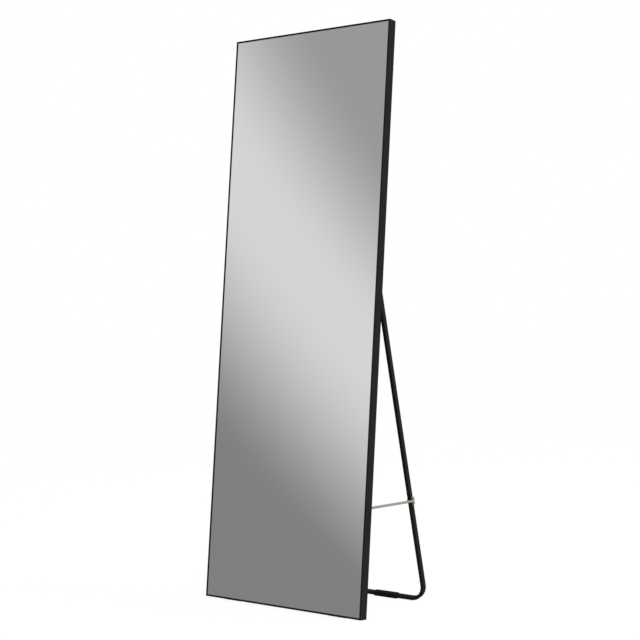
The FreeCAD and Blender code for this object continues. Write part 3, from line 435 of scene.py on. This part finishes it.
def new_piece(name, shape, slot_name):
    """Turn a bmesh into a finished piece with the slot's material."""
    mesh = bpy.data.meshes.new(name)
    shape.to_mesh(mesh)
    shape.free()
    piece = bpy.data.objects.new(name, mesh)
    bpy.context.scene.collection.objects.link(piece)
    dress(piece, slot_name)
    return piece


def on_right(point):
    return Vector(point)


def on_left(point):
    return Vector((-point[0], point[1], point[2]))


BOTH_SIDES = (("right", on_right), ("left", on_left))

# ---------------------------------------------------------------------------------------------
# Stop cords and their knots
# ---------------------------------------------------------------------------------------------
# Each cord runs level and straight from a knot inside the stile to a knot through the leg.

CORD_DIAMETER = 7.5 * MM
CORD_ROUTE = (
    Vector((0.26791, -0.11974, 0.30012)),
    Vector((0.27007, -0.07479, 0.30009)),
    Vector((0.27548, 0.03812, 0.30003)),
    Vector((0.27763, 0.08307, 0.30000)),
)
CORD_FINENESS = 64
STRANDS = 3
STRAND_GROOVE = 0.2
LAY_LENGTH = 20 * MM
SECTION_SIDES = 36

STAND_LEAN = math.radians(13.26)
KNOT_FINENESS = 8
KNOT_TUCK = 0.8
OUTER_KNOT_CENTRE = Vector((0.27680, 0.09026, 0.30110))
OUTER_KNOT_SIZE = Vector((8.8, 8.8, 26)) * MM
OUTER_KNOT_TURNS = 4
INNER_KNOT_CENTRE = Vector((0.25930, 0.09156, 0.30000))
INNER_KNOT_SIZE = Vector((5.4, 9, 15)) * MM
INNER_KNOT_TURNS = 2
LEG_KNOT_ROPE = 5.2 * MM
STOP_KNOT_SIZE = Vector((11.6, 11.6, 10.4)) * MM
STOP_KNOT_ROPE = 5.2 * MM
STOP_KNOT_TURNS = 1


def smooth_route(points, fineness):
    """The points of the NURBS line that the given points control."""
    curve = bpy.data.curves.new("route", "CURVE")
    curve.dimensions = "3D"
    spline = curve.splines.new("NURBS")
    spline.points.add(len(points) - 1)
    for control, point in zip(spline.points, points):
        control.co = (*point, 1)
    spline.order_u = 3
    spline.use_endpoint_u = True
    spline.resolution_u = fineness
    carrier = bpy.data.objects.new("route", curve)
    mesh = bpy.data.meshes.new_from_object(carrier)
    line = [vertex.co.copy() for vertex in mesh.vertices]
    bpy.data.objects.remove(carrier)
    bpy.data.curves.remove(curve)
    bpy.data.meshes.remove(mesh)
    return line


def turned_along(line):
    """A placement at each point of a line, with its z axis along the line."""
    places = []
    for index, point in enumerate(line):
        way = line[min(index + 1, len(line) - 1)] - line[max(index - 1, 0)]
        turn = way.to_track_quat("Z", "Y").to_matrix().to_4x4()
        places.append(Matrix.Translation(point) @ turn)
    return places


def lay_strands(ring, turn, travelled, yarn):
    """Press a flat ring of vertices into a rope's section: one round lobe for each strand."""
    for corner in ring:
        angle = math.atan2(corner.co.y, corner.co.x) - turn
        between = 1 - abs(math.cos(STRANDS * angle / 2))
        corner.co *= 1 - STRAND_GROOVE * between
        reach = corner.co.length
        corner[yarn] = (reach * math.cos(angle), reach * math.sin(angle), travelled)


def sweep_rope(shape, line, diameter, place=None, travelled=0.0):
    """Laid rope along a line, closed at both ends, then moved to its place."""
    yarn = shape.verts.layers.float_vector.get(YARN) or shape.verts.layers.float_vector.new(YARN)
    loops = []
    corners = []
    for index, section in enumerate(turned_along(line)):
        if index:
            travelled += (line[index] - line[index - 1]).length
        ring = bmesh.ops.create_circle(shape, segments=SECTION_SIDES, radius=diameter / 2)["verts"]
        lay_strands(ring, 2 * math.pi * travelled / LAY_LENGTH, travelled, yarn)
        bmesh.ops.transform(shape, matrix=section, verts=ring)
        corners += ring
        loops.append(list({edge for corner in ring for edge in corner.link_edges}))
    for near, far in zip(loops, loops[1:]):
        bmesh.ops.bridge_loops(shape, edges=near + far)
    bmesh.ops.holes_fill(shape, edges=loops[0] + loops[-1], sides=SECTION_SIDES)
    if place is not None:
        bmesh.ops.transform(shape, matrix=place, verts=corners)


def finish_rope(name, shape):
    bmesh.ops.recalc_face_normals(shape, faces=shape.faces)
    for face in shape.faces:
        face.smooth = len(face.verts) == 4
    return new_piece(name, shape, "beige_cord")


def wound_line(size, rope, turns):
    """A line that winds up the z axis and fills the size with rope, its ends tucked inside."""
    reach_x, reach_y, rise = (size.x - rope) / 2, (size.y - rope) / 2, size.z - rope
    corners = [Vector((-reach_x, -reach_y, 0)), Vector((reach_x, -reach_y, 0))]
    corners += [-corner for corner in corners]
    steps = len(corners) * turns
    climb = Vector((0, 0, rise / steps))
    bottom = Vector((0, 0, -rise / 2))
    tuck = Vector((0, 0, min(rope * KNOT_TUCK, rise / 2)))
    points = [bottom + tuck]
    for step in range(steps + 1):
        points.append(bottom + corners[step % len(corners)] + climb * step)
    points += [-bottom - tuck]
    return smooth_route(points, KNOT_FINENESS)


def add_stop_cord(side_name, mirrored):
    route = [mirrored(point) for point in CORD_ROUTE]
    line = smooth_route(route, CORD_FINENESS)
    shape = bmesh.new()
    sweep_rope(shape, line, CORD_DIAMETER)
    cord = finish_rope("laid_cord_" + side_name, shape)
    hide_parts("stop_cord_" + side_name)
    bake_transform(cord)


def add_leg_knot(side_name, mirrored):
    """Wraps on both sides of the leg, the cord through it, and its last stretch to the knot."""
    shape = bmesh.new()
    lean = Matrix.Rotation(STAND_LEAN, 4, "X")
    outer, inner = mirrored(OUTER_KNOT_CENTRE), mirrored(INNER_KNOT_CENTRE)
    for centre, size, turns in (
        (outer, OUTER_KNOT_SIZE, OUTER_KNOT_TURNS), (inner, INNER_KNOT_SIZE, INNER_KNOT_TURNS),
    ):
        wraps = wound_line(size, LEG_KNOT_ROPE, turns)
        sweep_rope(shape, wraps, LEG_KNOT_ROPE, Matrix.Translation(centre) @ lean)
    sweep_rope(shape, smooth_route([inner, outer], KNOT_FINENESS), CORD_DIAMETER)
    at_stile, at_leg = mirrored(CORD_ROUTE[0]), mirrored(CORD_ROUTE[-1])
    run = at_leg - at_stile
    straight_on = at_leg + run.normalized() * CORD_DIAMETER / 2
    last_stretch = smooth_route([at_leg, straight_on, outer], KNOT_FINENESS)
    sweep_rope(shape, last_stretch, CORD_DIAMETER, travelled=run.length)
    knot = finish_rope("tied_knot_" + side_name, shape)
    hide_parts("cord_knot_" + side_name)
    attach(knot, "stand")


def add_stop_knots():
    """The knots inside the stiles, wound about the cord's own line."""
    shape = bmesh.new()
    wraps = wound_line(STOP_KNOT_SIZE, STOP_KNOT_ROPE, STOP_KNOT_TURNS)
    for _, mirrored in BOTH_SIDES:
        at_stile, next_point = mirrored(CORD_ROUTE[0]), mirrored(CORD_ROUTE[1])
        way = (next_point - at_stile).normalized()
        centre = at_stile - way * STOP_KNOT_SIZE.z / 2
        along_cord = way.to_track_quat("Z", "Y").to_matrix().to_4x4()
        sweep_rope(shape, wraps, STOP_KNOT_ROPE, Matrix.Translation(centre) @ along_cord)
        sweep_rope(shape, smooth_route([centre, at_stile], KNOT_FINENESS), CORD_DIAMETER)
    knots = finish_rope("tied_stop_knots", shape)
    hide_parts("cord_stop_knots")
    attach(knots, "panel")


# ---------------------------------------------------------------------------------------------
# Screws
# ---------------------------------------------------------------------------------------------
# Seats are in millimetres in the panel's own upright frame: across, behind the front face, up.
# A profile lists (radius, height) from the head's top to the point; the surface is at height 0.

PANEL_LEAN = math.radians(-4.84)
PANEL_ORIGIN = (0, -0.169608, 0.004585)
PANEL_PLACE = Matrix.Translation(PANEL_ORIGIN) @ Matrix.Rotation(PANEL_LEAN, 4, "X")

SCREW_SIDES = 24
RECESS_WIDTH = 0.3
RECESS_TAPER = 0.55
THREAD_STEPS = 12
CORE_SHARE = 0.8
POINT_SHARE = 0.3
POINT_LENGTH = 1.2 * MM
NECK_LENGTH = 0.3 * MM
FLAT_HEAD_EDGE = 0.1 * MM
PAN_DOME = ((0.75, 0.93), (0.9, 0.75), (0.98, 0.45))


def cut_recess(shape, rim_height, arm, depth):
    """A cross recess with sloping walls; returns the edges of its rim."""
    width = arm * RECESS_WIDTH
    grid = bmesh.ops.create_grid(shape, x_segments=3, y_segments=3, size=arm)["verts"]
    for corner in grid:
        for axis in (0, 1):
            reach = arm if abs(corner.co[axis]) > arm / 2 else width
            corner.co[axis] = math.copysign(reach, corner.co[axis])
    outside = [
        face for face in shape.faces
        if min(abs(face.calc_center_median().x), abs(face.calc_center_median().y)) > width
    ]
    bmesh.ops.delete(shape, geom=outside, context="FACES")
    border = [edge for edge in shape.edges if edge.is_boundary]
    grown = bmesh.ops.extrude_edge_only(shape, edges=border)["geom"]
    rim = [part for part in grown if isinstance(part, bmesh.types.BMVert)]
    floor = [vertex for vertex in shape.verts if vertex not in rim]
    bmesh.ops.scale(shape, vec=(RECESS_TAPER, RECESS_TAPER, 1), verts=floor)
    bmesh.ops.translate(shape, vec=(0, 0, rim_height - depth), verts=floor)
    bmesh.ops.translate(shape, vec=(0, 0, rim_height), verts=rim)
    return [part for part in grown if isinstance(part, bmesh.types.BMEdge)]


def turn_profile(shape, profile, rim):
    """A turned body around the recess, from the head's top down to the screw's point."""
    radius, height = profile[0]
    top = bmesh.ops.create_circle(shape, segments=SCREW_SIDES, radius=radius)["verts"]
    bmesh.ops.translate(shape, vec=(0, 0, height), verts=top)
    edges = list({edge for corner in top for edge in corner.link_edges})
    bmesh.ops.bridge_loops(shape, edges=rim + edges)
    for next_radius, next_height in profile[1:]:
        grown = bmesh.ops.extrude_edge_only(shape, edges=edges)["geom"]
        ring = [part for part in grown if isinstance(part, bmesh.types.BMVert)]
        share = next_radius / radius
        bmesh.ops.scale(shape, vec=(share, share, 1), verts=ring)
        bmesh.ops.translate(shape, vec=(0, 0, next_height - height), verts=ring)
        edges = [part for part in grown if isinstance(part, bmesh.types.BMEdge)]
        radius, height = next_radius, next_height
    bmesh.ops.holes_fill(shape, edges=edges, sides=SCREW_SIDES)


def wind_thread(shape, shank, start, pitch, turns):
    """A sharp ridge that winds up the core from start."""
    size = pitch / 2
    ridge = bmesh.ops.create_circle(shape, cap_ends=True, segments=3, radius=size)["verts"]
    turned = Matrix.Rotation(math.radians(90), 4, "Z")
    upright = Matrix.Rotation(math.radians(90), 4, "X")
    out = Matrix.Translation((shank - size, 0, start))
    bmesh.ops.transform(shape, matrix=out @ upright @ turned, verts=ridge)
    faces = list({face for corner in ridge for face in corner.link_faces})
    edges = list({edge for corner in ridge for edge in corner.link_edges})
    steps = THREAD_STEPS * turns
    bmesh.ops.spin(
        shape, geom=ridge + edges + faces, cent=(0, 0, 0), axis=(0, 0, 1),
        dvec=(0, 0, pitch / THREAD_STEPS), angle=2 * math.pi * turns, steps=steps,
        use_merge=False, use_duplicate=False,
    )


def shank_profile(shank, top, length):
    """The neck below a screw's head, the core of its thread and its point."""
    core = shank * CORE_SHARE
    return [
        (shank, top), (core, top - NECK_LENGTH),
        (core, -length + POINT_LENGTH), (core * POINT_SHARE, -length),
    ]


def pan_profile(head, head_top, head_height, shank, length):
    """A domed head above the surface."""
    dome = [(head * out, head_height * up) for out, up in PAN_DOME]
    return [(head_top, head_height), *dome, (head, 0.0), *shank_profile(shank, 0.0, length)]


def flat_profile(head, shank, length):
    """A countersunk head, flush with the surface."""
    rim = [(head - FLAT_HEAD_EDGE, 0.0), (head, -FLAT_HEAD_EDGE)]
    return rim + shank_profile(shank, shank - head, length)


def add_screws(name, node, profile, recess, thread, seats):
    """One piece of like screws, one at each seat and one at its mirror image."""
    one = bmesh.new()
    rim = cut_recess(one, profile[0][1], **recess)
    turn_profile(one, profile, rim)
    wind_thread(one, **thread)
    bmesh.ops.recalc_face_normals(one, faces=one.faces)
    pattern = bpy.data.meshes.new(name + "_pattern")
    one.to_mesh(pattern)
    one.free()
    shape = bmesh.new()
    point_backward = Matrix.Rotation(math.radians(-90), 4, "X")
    for _, mirrored in BOTH_SIDES:
        for seat in seats:
            known = len(shape.verts)
            shape.from_mesh(pattern)
            shape.verts.ensure_lookup_table()
            place = PANEL_PLACE @ Matrix.Translation(mirrored(seat) * MM) @ point_backward
            bmesh.ops.transform(shape, matrix=place, verts=shape.verts[known:])
    bpy.data.meshes.remove(pattern)
    screws = new_piece(name, shape, "zinc_steel")
    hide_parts(node)
    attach(screws, "panel")


def add_all_screws():
    add_screws(
        "cross_head_bracket_screws", "bracket_screws",
        profile=pan_profile(
            head=4.0 * MM, head_top=2.4 * MM, head_height=2.6 * MM, shank=2.0 * MM, length=9.0 * MM,
        ),
        recess={"arm": 1.9 * MM, "depth": 1.5 * MM},
        thread={"shank": 2.0 * MM, "start": -7.6 * MM, "pitch": 1.0 * MM, "turns": 6},
        seats=[(261.5, 30.0, 941.0), (261.5, 30.0, 958.0)],
    )
    add_screws(
        "cross_head_hanger_screws", "hanger_screws",
        profile=pan_profile(
            head=3.3 * MM, head_top=2.1 * MM, head_height=2.1 * MM, shank=1.7 * MM, length=8.0 * MM,
        ),
        recess={"arm": 1.6 * MM, "depth": 1.2 * MM},
        thread={"shank": 1.7 * MM, "start": -6.6 * MM, "pitch": 0.9 * MM, "turns": 6},
        seats=[(201.0, 29.5, 1634.0), (159.0, 29.5, 1634.0)],
    )
    add_screws(
        "cross_head_corner_screws", "corner_screws",
        profile=flat_profile(head=3.1 * MM, shank=1.7 * MM, length=11.0 * MM),
        recess={"arm": 1.7 * MM, "depth": 1.2 * MM},
        thread={"shank": 1.7 * MM, "start": -9.6 * MM, "pitch": 0.9 * MM, "turns": 8},
        seats=[(234.0, 28.0, 16.1), (234.0, 28.0, 1633.9), (263.9, 28.0, 46.0), (263.9, 28.0, 1604.0)],
    )


# ---------------------------------------------------------------------------------------------
# Floor and studio light
# ---------------------------------------------------------------------------------------------

FLOOR_SIDE = 60.0
FLOOR_ALBEDO = 0.5
FLOOR_OWN_LIGHT = 0.8
FLOOR_WHITE = 1.18

# The glass reflects a soft band of light. Its edges are cosines of the angle from this axis: the
# light rises over the outer edge and falls by less over the inner one.
BAND_AXIS = Vector((0, -0.812, 0.5836))
BAND_OUTER_EDGE = (0.629, 0.7155)
BAND_INNER_EDGE = (0.724, 0.7855)
BAND_OUTSIDE = 0.229
BAND_RISE = 0.478
BAND_FALL = 0.372

# What falls on the matte surfaces comes mostly from the viewer's right and from above.
SKY_AXIS = Vector((0.8, 0.25, 0.55)).normalized()
SKY_RANGE = (-0.5, 0.9)
SKY_LEVELS = (0.1, 0.8)

SOFTBOX_PLACE = Vector((4.5, 0.6, 2.6))
SOFTBOX_TARGET = Vector((0, 0, 0.8))
SOFTBOX_SIDE = 2.5
SOFTBOX_POWER = 90


def add_floor():
    """A white floor that keeps a faint shadow and lets reflections see the studio behind it."""
    shape = bmesh.new()
    bmesh.ops.create_grid(shape, x_segments=1, y_segments=1, size=FLOOR_SIDE / 2)
    mesh = bpy.data.meshes.new("studio_floor")
    shape.to_mesh(mesh)
    shape.free()
    floor = bpy.data.objects.new("studio_floor", mesh)
    bpy.context.scene.collection.objects.link(floor)

    material = bpy.data.materials.new("white_floor")
    material.use_nodes = True
    tree = material.node_tree
    tree.nodes.clear()
    path = add_node(tree, "ShaderNodeLightPath", {}).outputs
    matte = add_node(tree, "ShaderNodeBsdfDiffuse", {"Color": grey(FLOOR_ALBEDO)}).outputs[0]
    white = add_node(tree, "ShaderNodeEmission", {"Strength": FLOOR_WHITE}).outputs[0]
    clear = add_node(tree, "ShaderNodeBsdfTransparent", {}).outputs[0]
    seen = mix_shaders(tree, FLOOR_OWN_LIGHT, matte, white)
    lit = mix_shaders(tree, path["Is Camera Ray"], matte, seen)
    shown = mix_shaders(tree, path["Is Glossy Ray"], lit, clear)
    add_node(tree, "ShaderNodeOutputMaterial", {"Surface": shown})
    mesh.materials.append(material)


def facing(tree, direction, axis):
    """How far a direction points along an axis, from -1 to 1."""
    inputs = {0: direction, 1: axis}
    return add_node(tree, "ShaderNodeVectorMath", inputs, operation="DOT_PRODUCT").outputs["Value"]


def add_studio_world():
    """White where the camera looks past the object, and a band of light in its reflections."""
    world = bpy.data.worlds.new("studio")
    world.use_nodes = True
    bpy.context.scene.world = world
    tree = world.node_tree
    tree.nodes.clear()
    direction = add_node(tree, "ShaderNodeTexCoord", {}).outputs["Generated"]
    path = add_node(tree, "ShaderNodeLightPath", {}).outputs

    inward = facing(tree, direction, BAND_AXIS)
    top = BAND_OUTSIDE + BAND_RISE
    risen = remap(tree, inward, *BAND_OUTER_EDGE, BAND_OUTSIDE, top, "SMOOTHSTEP")
    fallen = remap(tree, inward, *BAND_INNER_EDGE, 0.0, BAND_FALL, "SMOOTHSTEP")
    band_level = calculate(tree, "SUBTRACT", risen, fallen)
    band = add_node(tree, "ShaderNodeBackground", {"Color": grey(1.0), "Strength": band_level})

    sky_level = remap(tree, facing(tree, direction, SKY_AXIS), *SKY_RANGE, *SKY_LEVELS)
    sky = add_node(tree, "ShaderNodeBackground", {"Color": grey(1.0), "Strength": sky_level})

    backdrop = add_node(tree, "ShaderNodeBackground", {"Color": grey(1.0), "Strength": 1.0})
    unseen = mix_shaders(tree, path["Is Glossy Ray"], sky.outputs[0], band.outputs[0])
    shown = mix_shaders(tree, path["Is Camera Ray"], unseen, backdrop.outputs[0])
    add_node(tree, "ShaderNodeOutputWorld", {"Surface": shown})


def add_softbox():
    """A square lamp that lights the matte surfaces and stays out of reflections."""
    data = bpy.data.lights.new("side_softbox", "AREA")
    data.shape = "SQUARE"
    data.size = SOFTBOX_SIDE
    data.energy = SOFTBOX_POWER
    lamp = bpy.data.objects.new("side_softbox", data)
    lamp.location = SOFTBOX_PLACE
    aim = SOFTBOX_TARGET - SOFTBOX_PLACE
    lamp.rotation_euler = aim.to_track_quat("-Z", "Y").to_euler()
    lamp.visible_glossy = False
    bpy.context.scene.collection.objects.link(lamp)


add_camera()
dress_frame_nodes()
for side_name, mirrored in BOTH_SIDES:
    add_stop_cord(side_name, mirrored)
    add_leg_knot(side_name, mirrored)
add_stop_knots()
add_all_screws()
add_floor()
add_studio_world()
add_softbox()
